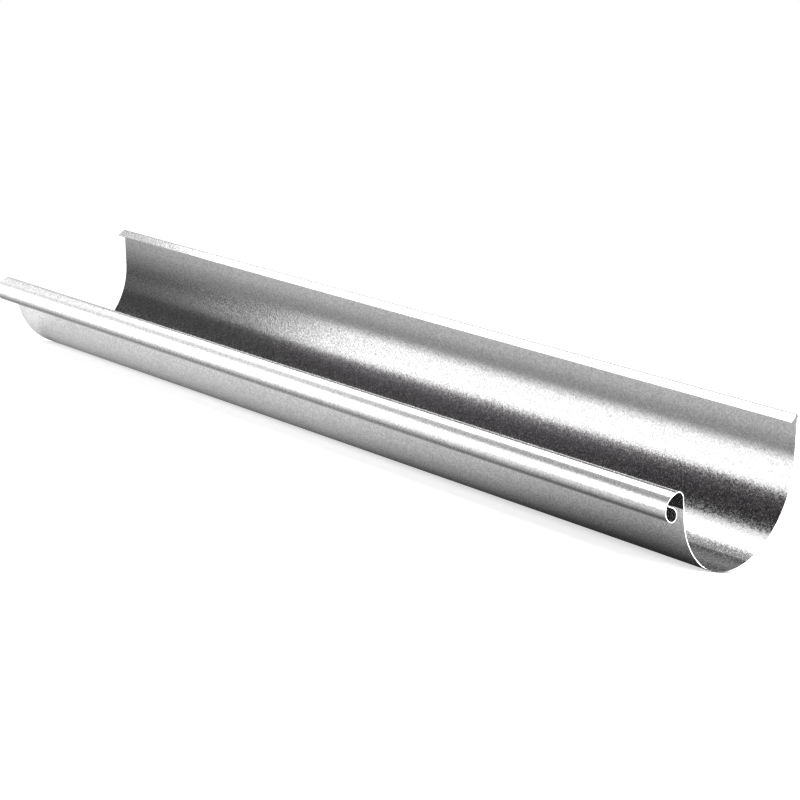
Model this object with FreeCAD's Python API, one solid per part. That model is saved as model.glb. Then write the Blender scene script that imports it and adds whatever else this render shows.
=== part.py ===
import FreeCAD, Part
import math
import os

# One length of half-round eaves gutter, bent from one sheet of zinc-coated steel. Its section lies in the
# Y-Z plane, with the bead in front (-Y) and the lip at the back (+Y), and its length runs along X.

# The sheet and the length it is cut to
sheet = 0.6
gutter_length = 750.0

# The trough, a half-round of 125 mm. Radii of bends are those of the sheet's middle line.
trough_radius = 62.5

# The back: the trough ends early and runs out into a straight wall that leans outwards, and the
# wall's top edge is folded in and down to a lip
back_lean = 6.0
back_wall = 32.0
rim_radius = 1.0
lip_fall = 25.0
lip_flat = 7.2

# The front: an upright wall, then the bead, a roll that turns forwards and down and closes on itself.
# Its angles are those of the sheet below level, counted on round the roll.
front_wall = 12.5
crown_radius = 6.7
brow_angle = 13.0
brow_flat = 3.3
nose_radius = 9.5
belly_angle = 160.0
toe_radius = 3.8
throat_angle = 277.0
throat_radius = 7.9
leg_angle = 326.0
leg_gap = 0.3

# Which way the sheet runs, in degrees that fall as it turns clockwise from the lip round the trough
BACKWARDS, DOWN, FORWARDS, UP = 0, -90, -180, -270


def towards(angle):
    """Unit vector in the section's plane: 0 degrees is +Y, 90 is +Z."""
    turn = math.radians(angle)
    return FreeCAD.Vector(0, math.cos(turn), math.sin(turn))


class BentSheet:
    """A sheet seen on its edge, walked by its middle line from one slit edge to the other."""

    def __init__(self, heading):
        self.point = FreeCAD.Vector(0, 0, 0)
        self.heading = heading
        self.edges = []
        self.slit_edge()

    def slit_edge(self):
        """The sheet's own thickness, where the strip was slit to width."""
        across = towards(self.heading + 90) * (sheet / 2)
        self.edges.append(Part.LineSegment(self.point - across, self.point + across).toShape())

    def flat(self, length):
        """Straight on: one line for each face of the sheet."""
        end = self.point + towards(self.heading) * length
        for side in (-sheet / 2, sheet / 2):
            across = towards(self.heading + 90) * side
            self.edges.append(Part.LineSegment(self.point + across, end + across).toShape())
        self.point = end

    def bend(self, radius, heading):
        """Round to a new heading, to the left where that is the larger angle: one arc for each face."""
        inwards = 90 if heading > self.heading else -90
        centre = self.point + towards(self.heading + inwards) * radius
        halfway = (self.heading + heading) / 2
        for face_radius in (radius - sheet / 2, radius + sheet / 2):
            ends = [centre - towards(a + inwards) * face_radius for a in (self.heading, halfway, heading)]
            self.edges.append(Part.Arc(*ends).toShape())
        self.point = centre - towards(heading + inwards) * radius
        self.heading = heading
        return centre

    def face(self):
        self.slit_edge()
        return Part.Face(Part.Wire(Part.__sortEdges__(self.edges)))


def leg_length(point, heading, centre):
    """How far a straight leg goes inside a round nose before its tip meets the nose, less the gap."""
    reach = nose_radius - sheet - leg_gap
    offset = centre - point
    along = offset.dot(towards(heading))
    beside = offset.dot(towards(heading + 90))
    return along + math.sqrt(reach ** 2 - beside ** 2)


def gutter_section():
    """The section with the trough's centre at the origin, level as it hangs."""
    strip = BentSheet(BACKWARDS + lip_fall)
    strip.flat(lip_flat)
    strip.bend(rim_radius, DOWN - back_lean)
    strip.flat(back_wall)
    trough_centre = strip.bend(trough_radius, UP)
    strip.flat(front_wall)
    strip.bend(crown_radius, FORWARDS + brow_angle)
    strip.flat(brow_flat)
    nose_centre = strip.bend(nose_radius, FORWARDS + belly_angle)
    strip.bend(toe_radius, FORWARDS + throat_angle)
    strip.bend(throat_radius, FORWARDS + leg_angle)
    strip.flat(leg_length(strip.point, strip.heading, nose_centre))
    section = strip.face()
    section.translate(trough_centre * -1)
    return section


def roll_to_rest(section):
    """Rolled on the trough's round bottom until the centre of mass is straight below its centre."""
    mass = section.CenterOfMass
    angle = math.degrees(math.atan(mass.y / mass.z))
    section.rotate(FreeCAD.Vector(0, 0, 0), FreeCAD.Vector(1, 0, 0), angle)
    return angle


section = gutter_section()
rest_angle = roll_to_rest(section)
gutter = section.extrude(FreeCAD.Vector(gutter_length, 0, 0))
box = gutter.optimalBoundingBox()
foot = FreeCAD.Vector(box.Center.x, box.Center.y, box.ZMin)
gutter.translate(foot * -1)

os.makedirs("parts", exist_ok=True)
gutter.exportStep("parts/gutter_section.step")
print("valid", gutter.isValid(), "solids", len(gutter.Solids), "volume", round(gutter.Volume, 1))
print("rolled to rest by", round(rest_angle, 3), "degrees, trough centre at",
      [round(c, 3) for c in foot * -1])
print("box", box.XLength, box.YLength, box.ZLength, "developed width", round(section.Area / sheet, 1))
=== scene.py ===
# %% [markdown]
# # A length of half-round eaves gutter
# The real thing is one strip of zinc-coated steel, 0.6 mm thick, that rollers have bent along its
# length: a half-round trough with a straight wall and a small folded lip at the back, and a rolled bead
# in front that stiffens it and holds it in its brackets. It lies as a loose length does on a floor,
# rolled over onto the heavier bead side.

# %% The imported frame
import math

import bpy
import bmesh
from mathutils import Matrix, Vector


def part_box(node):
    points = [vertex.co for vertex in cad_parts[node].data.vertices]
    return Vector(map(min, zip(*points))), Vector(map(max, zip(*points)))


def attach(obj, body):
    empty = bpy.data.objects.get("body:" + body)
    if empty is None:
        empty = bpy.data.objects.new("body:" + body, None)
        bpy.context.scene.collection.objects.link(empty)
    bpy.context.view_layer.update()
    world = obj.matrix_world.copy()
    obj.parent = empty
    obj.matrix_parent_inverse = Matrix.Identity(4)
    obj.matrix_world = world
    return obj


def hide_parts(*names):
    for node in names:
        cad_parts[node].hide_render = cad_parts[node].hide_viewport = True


MM = 0.001
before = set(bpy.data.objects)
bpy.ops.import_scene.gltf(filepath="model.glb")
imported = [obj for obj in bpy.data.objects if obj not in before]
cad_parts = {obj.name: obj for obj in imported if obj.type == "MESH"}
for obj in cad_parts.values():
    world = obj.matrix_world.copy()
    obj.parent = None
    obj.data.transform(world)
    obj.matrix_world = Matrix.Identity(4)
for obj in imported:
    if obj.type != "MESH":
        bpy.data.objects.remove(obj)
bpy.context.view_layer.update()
low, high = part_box("gutter_section")
bpy.ops.object.select_all(action="DESELECT")
print("packed section, mm:", [round(side / MM, 2) for side in high - low])

# %% [markdown]
# ## The sheet
# A roll former bends a flat strip a little at each pair of rollers. The section could be drawn as a
# curve and extruded, but bending is closer to how the gutter is made and gives each bend its own radius,
# so the sheet's middle surface is modelled as the rollers leave it. It starts as one flat plane, the
# upright front wall, with the trough's axis on the world's X axis. The trough is spun from the wall's
# lower edge, the bead from its upper edge, and the straight stretches between the bends are extruded.
# The sizes are the same as the solid's. The radii are those of the sheet's middle.

# %% Sizes of the sheet, in mm and degrees
SHEET = 0.6
LENGTH = (high - low).x / MM
TROUGH = 62.5
FRONT_WALL = 12.5
BACK_LEAN = 6.0
BACK_WALL = 32.0
RIM = 1.0
LIP_FALL = 25.0
LIP_FLAT = 7.2
print("sheet", SHEET, "mm thick,", round(LENGTH, 1), "mm long, round a trough of", TROUGH, "mm radius")


def towards(angle):
    """Unit vector across the gutter: 0 degrees points back, 90 points up."""
    turn = math.radians(angle)
    return Vector((0.0, math.cos(turn), math.sin(turn)))


# %% The front wall as the first plane
bpy.ops.mesh.primitive_plane_add(size=1, location=(0, -TROUGH * MM, FRONT_WALL / 2 * MM),
                                 rotation=(math.radians(90), 0, 0))
sheet = bpy.context.object
sheet.name = "bent_sheet"
sheet.scale = (LENGTH * MM, FRONT_WALL * MM, 1)
bpy.ops.object.transform_apply(location=True, rotation=True, scale=True)
bpy.ops.object.mode_set(mode="EDIT")
bpy.context.tool_settings.mesh_select_mode = (False, True, False)
print("first plane's corners, mm:", [[round(v / MM, 2) for v in c.co] for c in sheet.data.vertices])


# %% Choosing edges by their place
def select_edges(wanted):
    """Selects only the edges whose two ends pass the test, and returns how many they are."""
    mesh = bmesh.from_edit_mesh(sheet.data)
    for part in (*mesh.faces, *mesh.edges, *mesh.verts):
        part.select = False
    chosen = [edge for edge in mesh.edges if wanted(*(vertex.co for vertex in edge.verts))]
    for edge in chosen:
        edge.select_set(True)
    bmesh.update_edit_mesh(sheet.data)
    return len(chosen)


# %% Divisions along the length, so that long faces stay well shaped
DIVISIONS = 30
long_edges = select_edges(lambda one, other: abs(one.x - other.x) > LENGTH * MM / 2)
bpy.ops.mesh.subdivide(number_cuts=DIVISIONS - 1)
print(long_edges, "long edges cut into", DIVISIONS)


# %% Two moves: straight on, and round a bend
class Rollers:
    """Where the sheet's free edge is, and which way it runs, in degrees across the gutter."""
    touching = 1e-6

    def __init__(self, point, heading):
        self.point = point
        self.heading = heading

    def is_here(self, corner):
        return math.hypot(corner.y - self.point.y, corner.z - self.point.z) < self.touching

    def take_edge(self):
        found = select_edges(lambda one, other: self.is_here(one) and self.is_here(other))
        assert found == DIVISIONS, (found, self.point)

    def flat(self, length):
        self.take_edge()
        step = towards(self.heading) * length * MM
        bpy.ops.mesh.extrude_edges_move(TRANSFORM_OT_translate={"value": step})
        self.point = self.point + step

    def bend(self, radius, turn, per_face):
        """Turns left for a positive angle. Each new face spans about per_face degrees."""
        self.take_edge()
        inwards = 90 if turn > 0 else -90
        centre = self.point + towards(self.heading + inwards) * radius * MM
        bpy.ops.mesh.spin(steps=max(2, round(abs(turn) / per_face)), angle=-math.radians(turn),
                          center=centre, axis=(1, 0, 0))
        self.heading += turn
        self.point = centre - towards(self.heading + inwards) * radius * MM
        return centre


# %% The trough, the leaning back wall, and the lip folded in along its top
back = Rollers(Vector((0, -TROUGH * MM, 0)), heading=-90)
back.bend(TROUGH, 180 - BACK_LEAN, per_face=1.5)
back.flat(BACK_WALL)
back.bend(RIM, 90 + BACK_LEAN + LIP_FALL, per_face=8)
back.flat(LIP_FLAT)
print("lip's slit edge at", [round(v / MM, 2) for v in back.point])

# %% [markdown]
# ## The bead
# The bead is the part that takes the most care. From the upright wall the sheet turns forwards over a
# small crown, falls a little along the brow to the round nose, comes back underneath, and tucks itself
# up inside, so that the slit edge ends inside the roll, close under the nose. It could be one spiral,
# but the real roll has bends of different radii with flats between them, and that shows at the cut end.
# The angles say how far the sheet has turned past pointing straight forwards.

# %% Sizes of the bead, in mm and degrees
CROWN = 6.7
BROW_ANGLE = 13.0
BROW_FLAT = 3.3
NOSE = 9.5
BELLY_ANGLE = 160.0
TOE = 3.8
THROAT_ANGLE = 277.0
THROAT = 7.9
LEG_ANGLE = 326.0
LEG_GAP = 0.3
print("bead about", round(2 * NOSE + SHEET, 1), "mm through at the nose")

# %% Crown, brow, nose, toe and throat
bead = Rollers(Vector((0, -TROUGH * MM, FRONT_WALL * MM)), heading=90)
bead.bend(CROWN, 90 + BROW_ANGLE, per_face=4)
bead.flat(BROW_FLAT)
nose_centre = bead.bend(NOSE, BELLY_ANGLE - BROW_ANGLE, per_face=3)
bead.bend(TOE, THROAT_ANGLE - BELLY_ANGLE, per_face=5)
bead.bend(THROAT, LEG_ANGLE - THROAT_ANGLE, per_face=5)
print("nose's centre at", [round(v / MM, 2) for v in nose_centre])

# %% The last leg, which stops a hair's breadth under the nose
reach = NOSE - SHEET - LEG_GAP
offset = (nose_centre - bead.point) / MM
along = offset.dot(towards(bead.heading))
beside = offset.dot(towards(bead.heading + 90))
bead.flat(along + math.sqrt(reach ** 2 - beside ** 2))
print("bead's slit edge at", [round(v / MM, 2) for v in bead.point])

# %% [markdown]
# ## Thickness and cut edges
# The sheet so far has no thickness. Its faces are first made to agree which side is which, then a
# Solidify modifier gives it 0.6 mm, half to each side, because the sizes are those of its middle. Where
# shears cut it and a file took the burr off, a bright line shows, so a Bevel modifier gives the sharp
# edges a chamfer of a little under a tenth of a millimetre. Last, the gutter rolls over onto its round
# bottom and moves to where the solid lies, and that place goes into its mesh.

# %% Thickness, chamfer and smooth shading
CHAMFER = 0.08
bpy.ops.mesh.select_all(action="SELECT")
bpy.ops.mesh.normals_make_consistent(inside=False)
bpy.ops.object.mode_set(mode="OBJECT")
thickness = sheet.modifiers.new("sheet thickness", "SOLIDIFY")
thickness.thickness = SHEET * MM
thickness.offset = 0
thickness.use_even_offset = True
filed = sheet.modifiers.new("filed edges", "BEVEL")
filed.width = CHAMFER * MM
filed.segments = 1
filed.limit_method = "ANGLE"
filed.angle_limit = math.radians(60)
for modifier in ("sheet thickness", "filed edges"):
    bpy.ops.object.modifier_apply(modifier=modifier)
bpy.ops.object.shade_smooth_by_angle(angle=math.radians(32))
print("faces:", len(sheet.data.polygons))

# %% Rolled to rest and set down
REST_ROLL = 25.244
AXIS_Y = 7.89
AXIS_Z = TROUGH + SHEET / 2
sheet.rotation_euler.x = math.radians(REST_ROLL)
sheet.location = (0, AXIS_Y * MM, AXIS_Z * MM)
bpy.ops.object.transform_apply(location=True, rotation=True, scale=True)
measured = bmesh.new()
measured.from_mesh(sheet.data)
open_edges = sum(not edge.is_manifold for edge in measured.edges)
print("volume, mm3:", round(measured.calc_volume() / MM ** 3), "open edges:", open_edges)
measured.free()
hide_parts("gutter_section")
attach(sheet, "root")

# %% [markdown]
# ## Zinc-coated steel
# Steel strip that is drawn through molten zinc comes out covered in crystals, which the finishing rolls
# flatten to a satin. Close to, it glitters like fine sand. From a distance it mirrors the studio in
# long streaks that follow the bends and have grainy edges. The grain could be painted as specks of
# grey, but it is the mirror image that breaks up, so this is a plain metal of low roughness in which
# each crystal leans a little, and has a grey and a satin of its own.


# %% One way to add a node, and one for colours
def linear(hex_colour):
    """A colour written as sRGB hex, as the shader wants it."""
    values = [int(hex_colour[i:i + 2], 16) / 255 for i in (1, 3, 5)]
    return [v / 12.92 if v <= 0.04045 else ((v + 0.055) / 1.055) ** 2.4 for v in values] + [1.0]


def add_node(tree, kind, settings=None, **inputs):
    """A node with its settings and inputs. An input is a value or another node's socket. It is named
    as its socket is, with _ for a space, or i and its number."""
    made = tree.nodes.new("ShaderNode" + kind)
    for name, value in (settings or {}).items():
        setattr(made, name, value)
    for name, value in inputs.items():
        numbered = name[0] == "i" and name[1:].isdigit()
        socket = made.inputs[int(name[1:]) if numbered else name.replace("_", " ")]
        if isinstance(value, bpy.types.NodeSocket):
            tree.links.new(value, socket)
        else:
            socket.default_value = value
    return made


def new_material(name):
    material = bpy.data.materials.new(name)
    material.use_nodes = True
    material.node_tree.nodes.clear()
    return material, material.node_tree


# %% [markdown]
# ### The crystals
# Real ones are some 0.2 mm across, and a pixel of the picture covers about 0.75 mm of the gutter, so
# they are drawn as coarse as they need to show, as a fine pattern and a coarse one. Each crystal of a
# pattern draws three numbers between 0 and 1, its colour. The two patterns' draws are added up, so
# middling sums are common, and those below 0.3 or over 1.7 are rare. The sums lean the crystal to the
# sides, and pick its grey and its roughness.

# %% What the crystals draw
CRYSTALS = (0.5, 1.1)
zinc, tree = new_material("zinc_coated_steel")
place = add_node(tree, "TexCoord").outputs["Object"]
fine, coarse = (add_node(tree, "TexVoronoi", Vector=place, Scale=1 / (size * MM)).outputs["Color"]
                for size in CRYSTALS)
draws = add_node(tree, "VectorMath", {"operation": "ADD"}, i0=fine, i1=coarse).outputs[0]
draw = add_node(tree, "SeparateXYZ", Vector=draws).outputs
print("crystals, mm:", CRYSTALS)

# %% How far they lean
TILT = 0.034
centred = add_node(tree, "VectorMath", {"operation": "SUBTRACT"}, i0=draws, i1=(1.0, 1.0, 1.0))
lean = add_node(tree, "VectorMath", {"operation": "SCALE"}, i0=centred.outputs[0], Scale=TILT)
upright = add_node(tree, "NewGeometry").outputs["Normal"]
tilted = add_node(tree, "VectorMath", {"operation": "ADD"}, i0=upright, i1=lean.outputs[0])
facet = add_node(tree, "VectorMath", {"operation": "NORMALIZE"}, i0=tilted.outputs[0])
print("steepest lean, degrees:", round(math.degrees(TILT), 1))

# %% Their greys and their satin
COMMON = (0.3, 1.7)
GREYS = ("#CFCECF", "#FBFBFB")
SATIN = (0.07, 0.33)
grey_share = add_node(tree, "MapRange", Value=draw["X"], From_Min=COMMON[0], From_Max=COMMON[1])
grey = add_node(tree, "ValToRGB", Fac=grey_share.outputs["Result"])
for element, colour in zip(grey.color_ramp.elements, GREYS):
    element.color = linear(colour)
satin = add_node(tree, "MapRange", Value=draw["Y"], From_Min=COMMON[0], From_Max=COMMON[1],
                 To_Min=SATIN[0], To_Max=SATIN[1])
shader = add_node(tree, "BsdfPrincipled", Base_Color=grey.outputs["Color"], Metallic=1.0,
                  Roughness=satin.outputs["Result"], Normal=facet.outputs[0])
add_node(tree, "OutputMaterial", Surface=shader.outputs["BSDF"])
sheet.data.materials.clear()
sheet.data.materials.append(zinc)
print("greys", GREYS, "roughness", SATIN)

# %% [markdown]
# ## Floor and background
# The photograph's background is pure white. More lamps would whiten it, but would burn the metal out
# as well. So the floor is a pale matt sheet, and where the camera or the metal looks at it, a little
# glow of its own lifts the lit part to white and leaves the gutter's soft shadow. The world does the
# same: it lights the room a little, and is plain white to look at.


# %% Floor
FLOOR_GREY = "#E8E8E8"
FLOOR_GLOW = 0.64
FLOOR_SIDE = 60


def seen_by_eye_or_metal(tree):
    """1 for rays of the camera and of mirrors and glass, 0 for those that carry light about."""
    path = add_node(tree, "LightPath").outputs
    eye_or_mirror = add_node(tree, "Math", {"operation": "ADD"}, i0=path["Is Camera Ray"],
                             i1=path["Is Glossy Ray"])
    return add_node(tree, "Math", {"operation": "ADD", "use_clamp": True}, i0=eye_or_mirror.outputs[0],
                    i1=path["Is Transmission Ray"]).outputs[0]


floor_paint, tree = new_material("pale_floor")
glow = add_node(tree, "Math", {"operation": "MULTIPLY"}, i0=seen_by_eye_or_metal(tree), i1=FLOOR_GLOW)
matt = add_node(tree, "BsdfDiffuse", Color=linear(FLOOR_GREY))
lift = add_node(tree, "Emission", Strength=glow.outputs[0])
lifted = add_node(tree, "AddShader", i0=matt.outputs[0], i1=lift.outputs[0])
add_node(tree, "OutputMaterial", Surface=lifted.outputs[0])
bpy.ops.mesh.primitive_plane_add(size=FLOOR_SIDE, location=(0, 0, 0))
floor = bpy.context.object
floor.name = "floor"
floor.data.materials.append(floor_paint)
print("floor", FLOOR_SIDE, "m wide")

# %% World
ROOM_LIGHT = 0.55
WHITE = 1.0
world = bpy.data.worlds.new("studio")
bpy.context.scene.world = world
world.use_nodes = True
tree = world.node_tree
tree.nodes.clear()
level = add_node(tree, "MapRange", Value=seen_by_eye_or_metal(tree), To_Min=ROOM_LIGHT, To_Max=WHITE)
sky = add_node(tree, "Background", Color=linear("#FFFFFF"), Strength=level.outputs["Result"])
add_node(tree, "OutputWorld", Surface=sky.outputs[0])
print("world", ROOM_LIGHT, "as light,", WHITE, "to look at")

# %% [markdown]
# ## Soft boxes
# Shiny metal shows its lamps as streaks, so a photographer uses large soft boxes, which give broad even
# ones. A bulb or the sun would leave hard sparks. One long box hangs over the gutter and makes the
# lower white streak in the trough. The upper streak is the white room, seen over the bead. The other
# box hangs high behind, where the trough's bottom mirrors it. Each is given as its radiance, where 1 is
# white, and the lamp's watts follow from its size.


# %% Two soft boxes
def soft_box(name, place, aim, size, radiance):
    bpy.ops.object.light_add(type="AREA", location=place)
    lamp = bpy.context.object
    lamp.name = name
    lamp.data.shape = "RECTANGLE"
    lamp.data.size, lamp.data.size_y = size
    lamp.data.energy = radiance * math.pi * size[0] * size[1]
    lamp.rotation_euler = (Vector(aim) - Vector(place)).to_track_quat("-Z", "Y").to_euler()
    print(name, round(lamp.data.energy, 2), "W")


soft_box("overhead_box", (0.25, 0.045, 1.55), (0.25, 0.045, 0.0), size=(4.4, 1.115), radiance=1.5)
soft_box("back_box", (-0.9, 1.5, 1.55), (-0.9, 0.007, 0.06), size=(3.6, 0.8), radiance=2.4)

# %% [markdown]
# ## Cards: painted reflections
# A mirror shows what stands round it, so a photographer also sets white, grey and black cards round
# shiny metal, close to it and just out of the picture, and hangs dark gauze where a streak should fade.
# These cards are no real boards but glowing planes that paint the metal's streaks, dark bands and shade
# into its reflection, and their gauze paints shade. They could be plain boards in the room, but boards
# this close would block the soft boxes and show in other views. These are seen by the metal's mirror
# alone: not by the camera, and not by light on its way. A card glows at the brightness that the metal
# should show, where 1 is white. A brightness is fixed, or graded along an axis by stops of millimetres
# and values, or several such factors multiplied.


# %% Values that change along a card
def graded(tree, axis, stops):
    """A value that changes along one axis. The stops are pairs of mm and value."""
    first, last = stops[0][0], stops[-1][0]
    where = add_node(tree, "SeparateXYZ", Vector=add_node(tree, "TexCoord").outputs["Object"])
    share = add_node(tree, "MapRange", Value=where.outputs[axis], From_Min=first * MM, From_Max=last * MM)
    ramp = add_node(tree, "ValToRGB", Fac=share.outputs["Result"])
    for at, _ in stops[1:-1]:
        ramp.color_ramp.elements.new((at - first) / (last - first))
    for element, (_, value) in zip(ramp.color_ramp.elements, stops):
        element.color = [value] * 3 + [1]
    return ramp.outputs["Color"]


def product(tree, factors):
    """Numbers and graded values, each an axis and its stops, multiplied. Numbers alone give a number."""
    result = math.prod(factor for factor in factors if not isinstance(factor, tuple))
    for factor in factors:
        if isinstance(factor, tuple):
            value = graded(tree, *factor)
            result = value if result == 1 else add_node(tree, "Math", {"operation": "MULTIPLY"},
                                                        i0=result, i1=value).outputs[0]
    return result


# %% The paint of a card, a painted reflection
def painted_reflection_paint(name, brightness, see_through=(0.0,), layers=None, one_sided=False, tint="#FFFFFF"):
    """Paint for a painted reflection, which glows as bright as it says. see_through is the share of what
    lies behind that one layer of gauze, painted shade, lets by, and layers is how many there are.
    One-sided paint isn't there at all from behind."""
    paint, tree = new_material(name)
    shade = add_node(tree, "Emission", Color=linear(tint), Strength=product(tree, brightness))
    gap = add_node(tree, "BsdfTransparent")
    passes = product(tree, see_through)
    if layers:
        passes = add_node(tree, "Math", {"operation": "POWER"}, i0=passes,
                          i1=product(tree, layers)).outputs[0]
    if one_sided:
        behind = add_node(tree, "NewGeometry").outputs["Backfacing"]
        passes = add_node(tree, "Math", {"operation": "MAXIMUM"}, i0=passes, i1=behind).outputs[0]
    both = add_node(tree, "MixShader", i0=passes, i1=shade.outputs[0], i2=gap.outputs[0])
    add_node(tree, "OutputMaterial", Surface=both.outputs[0])
    paint.cycles.emission_sampling = "NONE"
    return paint


# %% Hanging a card
def hang(board, name, brightness, **paint):
    board.name = name
    board.data.materials.append(painted_reflection_paint(name, brightness, **paint))
    # Only the metal's mirror sees a card: it is a painted reflection, and it blocks no light.
    board.visible_camera = board.visible_diffuse = False
    board.visible_shadow = board.visible_transmission = False
    print("hung", name)


def board_at(corners):
    """A flat board from its corners in mm: two along one edge, then two along the other, likewise."""
    bpy.ops.mesh.primitive_plane_add(size=1)
    board = bpy.context.object
    for vertex, corner in zip(board.data.vertices, corners):
        vertex.co = Vector(corner) * MM
    return board


def card(name, x_span, near, far, brightness, **paint):
    """A card along the gutter between two edges, each given as (y, z) in mm. A one-sided one is seen
    from its left, by someone who looks from near to far with the gutter's near end behind them."""
    hang(board_at([(x, *edge) for edge in (near, far) for x in x_span]), name, brightness, **paint)


# %% [markdown]
# ### Cards for the bead: painted reflections
# The round bead mirrors half the room in a strip 20 mm wide, so its cards are narrow and close. A glowing
# white board in front paints the bright stripe round the nose, a painted highlight, and its foot fades
# towards the near end. Over the front hangs a card graded from white to grey and back, which paints the
# soft stripe along the brow. Under the belly lies one that darkens inwards, painted shade under the bead,
# with a gauze on it that paints shade on the near end, and a thin dark one over the crown paints its
# line.
# The hollow of the roll is dark, so a small black disc and lid close it off a little way inside, painted
# shade that the metal mirrors.

# %% Round the bead
ALL_ALONG = (-420, 420)
BLACK = 0.02
# Painted highlights and painted shade, seen only in the bead's mirror.
card("painted_highlight_board", ALL_ALONG, (-92, 22), (-91, 57), [1.5])
card("painted_highlight_board_foot", ALL_ALONG, (-93, 0), (-92, 22),
     [("X", [(-420, 1.5), (0, 1.4), (190, 1.0), (330, 0.68)])])
card("brow_painted_reflection", ALL_ALONG, (-68.5, 51.5), (-92, 51.5),
     [1.5, ("X", [(-375, 1.0), (0, 0.84), (190, 0.54), (330, 0.42)]),
      ("Y", [(-92, 1.6), (-88, 1.35), (-84, 1.0), (-77, 0.63), (-71.7, 0.67), (-68.5, 0.9)])],
     one_sided=True)
card("belly_painted_shade", ALL_ALONG, (-76, 28), (-60, 28),
     [("X", [(-375, 1.1), (0, 1.0), (190, 0.88), (330, 0.76)]),
      ("Y", [(-76, 1.0), (-72, 0.7), (-69.6, 0.52), (-67.6, 0.37), (-65.9, 0.27), (-64.2, 0.31),
             (-62, 0.5)])],
     one_sided=True)
card("bead_shade", (60, 420), (-66.2, 28.6), (-60, 28.6), [0.0],
     see_through=[("X", [(60, 1.0), (190, 0.72), (330, 0.47)])], one_sided=True)
card("crown_painted_line", (-420, 380), (-53.5, 57.5), (-62.4, 57.5),
     [("X", [(-375, 0.75), (0, 0.3), (190, 0.24), (375, 0.18)])], one_sided=True)

# %% In the bead's hollow
# Painted shade: a black lid and disc, seen only in the metal's mirror, darken the hollow of the roll.
card("painted_shade_lid", (335, 374.6), (-57.3, 37), (-50.9, 40.2), [BLACK], one_sided=True)
bpy.ops.mesh.primitive_circle_add(vertices=16, radius=9.2 * MM, fill_type="NGON",
                                  location=Vector((361, -60.9, 40.35)) * MM,
                                  rotation=(0, math.radians(90), 0))
hang(bpy.context.object, "painted_shade_plug", [BLACK])

# %% [markdown]
# ### Cards for the trough, the back wall and the lip: painted reflections
# The trough's back half mirrors the room in front of the gutter, where a large dark card stands, and
# that painted reflection, tinted faintly violet, is its black band. A grey card close to the leaning back
# wall paints that soft grey, darker at the foot, as painted shade. Over the lip hangs a gauze that paints
# shade on its far end, and in front of the rim a dark strip that draws a thin painted line. Three more
# hang in the trough itself: a dark card that the near end's bottom mirrors, as painted shade, a gauze
# that paints shade on the foot of the lower white streak, and one that paints the far end into shade.

# %% In front of the gutter
# A painted reflection: the dark band of the trough's back half, tinted faintly violet.
card("front_painted_dark_band", (-1500, 500), (-583, 78), (-292, 582),
     [("Z", [(78, 0.26), (120, 0.19), (165, 0.13), (215, 0.1), (300, 0.062), (582, 0.052)]),
      ("X", [(-1100, 0.45), (-890, 0.6), (-570, 1.0), (-300, 0.95), (-85, 0.6), (100, 0.5)])],
     tint="#FFF5FD")

# %% At the back wall and the lip
# Painted shade: the back wall's soft grey, darker at the foot, the lip's far end, and a dark line along
# the rim.
card("wall_painted_shade", (-600, 420), (50, 108), (61.2, 70),
     [("Z", [(80, 0.27), (89, 0.38), (94, 0.5), (101, 0.57), (106, 0.6)]),
      ("X", [(-375, 0.75), (-321, 0.84), (-195, 0.97), (-100, 1.0)])],
     see_through=[("Z", [(70, 1.0), (73, 0.9), (76, 0.5), (79, 0.25), (82, 0.05), (85, 0.0)])],
     one_sided=True)
card("lip_painted_shade", (-460, -250), (54, 140), (36, 140), [0.0],
     see_through=[("X", [(-460, 0.6), (-350, 0.66), (-310, 0.8), (-260, 1.0)])], one_sided=True)
card("rim_painted_line", ALL_ALONG, (64, 112), (54.6, 120), [0.08], one_sided=True)

# %% Low in the trough
# Painted shade low in the trough, and the far end painted into shade.
card("heel_painted_shade", (120, 420), (40, 9), (40, 21),
     [("Z", [(9, 0.02), (12, 0.03), (14.5, 0.05), (16, 0.15), (21, 0.3)])],
     see_through=[("Z", [(9, 0.3), (12, 0.25), (14.5, 0.1), (16, 0.15), (21, 0.6)])], one_sided=True)
card("lap_painted_shade", (150, 420), (66, 60), (50, 60), [0.0],
     see_through=[("Y", [(50, 1.0), (52.5, 0.6), (58, 0.85), (66, 0.9)])], one_sided=True)
card("shade_filter", (-900, -50), (0, 100), (0, 8), [0.06],
     see_through=[("X", [(-460, 0.04), (-400, 0.07), (-333, 0.13), (-265, 0.26), (-167, 0.88),
                         (-110, 1.0)])],
     one_sided=True)
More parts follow.
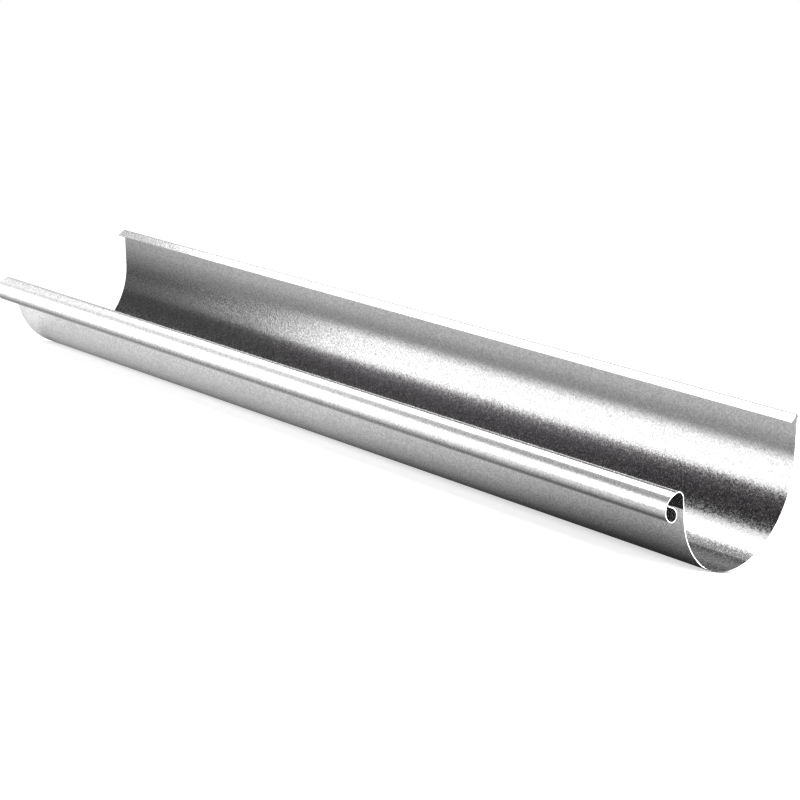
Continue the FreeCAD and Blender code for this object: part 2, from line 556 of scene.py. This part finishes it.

# %% [markdown]
# ### Cards on the floor and round the room: painted reflections
# The outside of the trough mirrors the floor under it, which would be white right up to the metal. A
# gauze on the floor paints the gutter's shadow into that reflection, darker towards the line where the
# gutter stands, with more layers near the near end. A wall and a floor card behind paint a grey
# reflection for the gutter's back, darker low down and towards the gutter, so that it stands out from a
# white room. The cut edges of the near end mirror what lies beyond that end, and two very bright glowing
# cards there paint them as white lines, painted highlights.

# %% On the floor and behind
# Painted shadow: the floor gauze darkens the floor's reflection towards where the gutter stands; the back
# cards paint a grey reflection.
card("floor_painted_shadow", (-700, 500), (-110, 0.1), (70, 0.1), [BLACK],
     see_through=[("Y", [(-110, 1.0), (-88, 0.85), (-50, 0.74), (-41, 0.69), (-34, 0.63), (-28, 0.55),
                         (-22, 0.48), (-13, 0.32), (-6, 0.19)])],
     layers=[2.9, ("X", [(-440, 0.65), (-410, 0.5), (-385, 0.3), (-350, 0.22), (0, 0.35), (187, 0.62),
                         (330, 1.0)])])
card("back_painted_reflection", (-2500, 2500), (1000, 0), (1000, 750), [("Z", [(0, 0.3), (300, 0.5), (750, 0.8)])],
     one_sided=True)
card("back_floor_painted_reflection", (-1500, 1500), (90, 0.2), (1000, 0.2),
     [("Y", [(90, 0.12), (200, 0.3), (1000, 0.33)])], one_sided=True)

# %% Beyond the near end
VERY_BRIGHT = 5.0
# Painted highlights: two very bright glowing cards draw the near end's cut edges as white lines.
card("end_floor_painted_highlight", (385, 760), (-45, 0.3), (420, 0.3), [VERY_BRIGHT], one_sided=True)
foot_and_top = [(x, y, z) for z in (0, 220) for x, y in ((760, 60), (480, 480))]
hang(board_at(foot_and_top), "end_painted_highlight", [VERY_BRIGHT])

# %% [markdown]
# ## Camera
# The photograph looks down on the gutter from in front and from its near end, with a long lens. A camera
# could be nudged until the pictures agree, but each nudge moves all the lines at once. So these values
# are a fit to the straight edges and the cut end, turned with the gutter as it rolled to rest.

# %% Camera
CAMERA_PLACE = Vector((1.08374, -1.12385, 0.16467))
CAMERA_AIM = Vector((0.0366, 0.0319, 0.0433))
CAMERA_ROLL = 13.711
LENS = 88.715
bpy.ops.object.camera_add(location=CAMERA_PLACE)
camera = bpy.context.object
level_turn = (CAMERA_AIM - CAMERA_PLACE).to_track_quat("-Z", "Y").to_matrix()
camera.rotation_euler = (level_turn @ Matrix.Rotation(math.radians(CAMERA_ROLL), 3, "Z")).to_euler()
camera.data.sensor_width = 36
camera.data.lens = LENS
camera.data.clip_start = 0.01
camera.data.clip_end = 200
bpy.context.scene.camera = camera
bpy.context.scene.view_settings.view_transform = "Standard"
print("camera", round((CAMERA_AIM - CAMERA_PLACE).length, 2), "m from what it looks at")
